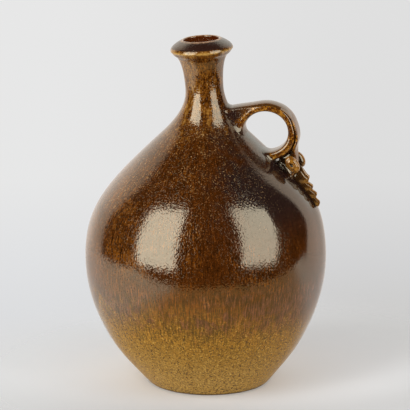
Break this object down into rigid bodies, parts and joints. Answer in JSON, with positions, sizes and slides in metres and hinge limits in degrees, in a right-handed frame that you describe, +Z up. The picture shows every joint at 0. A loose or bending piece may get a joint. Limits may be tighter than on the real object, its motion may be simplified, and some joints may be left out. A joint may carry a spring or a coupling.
{
  "type": "carafe",
  "caption": "Round-bellied stoneware carafe with a slender neck, mushroom lip, one-finger ring handle and leaf-and-scroll terminal, glazed glossy brown running to speckled ochre.",
  "frame": {"origin": "centre of the foot, on the surface it stands on", "axes": "+Z up along the body's axis, +X towards the handle"},
  "size_m": [0.153, 0.153, 0.2223],
  "materials": {
    "body_glaze": "glossy red-brown glaze with fine streaks, running to speckled ochre towards the foot",
    "neck_glaze": "glossy amber-brown glaze, almost black on the lip",
    "handle_glaze": "glossy brown glaze, golden where it breaks over the edges",
    "sprig_glaze": "glossy golden glaze, dark where it pools in the hollows"
  },
  "bodies": {
    "root": {"body": "body_glaze", "neck": "neck_glaze", "handle_strap": "handle_glaze", "handle_tail": "handle_glaze", "scroll_near": "sprig_glaze", "scroll_far": "sprig_glaze", "leaf_1_near": "sprig_glaze", "leaf_1_far": "sprig_glaze", "leaf_2_near": "sprig_glaze", "leaf_2_far": "sprig_glaze", "leaf_3_near": "sprig_glaze", "leaf_3_far": "sprig_glaze", "leaf_tip": "sprig_glaze"}
  },
  "joints": []
}
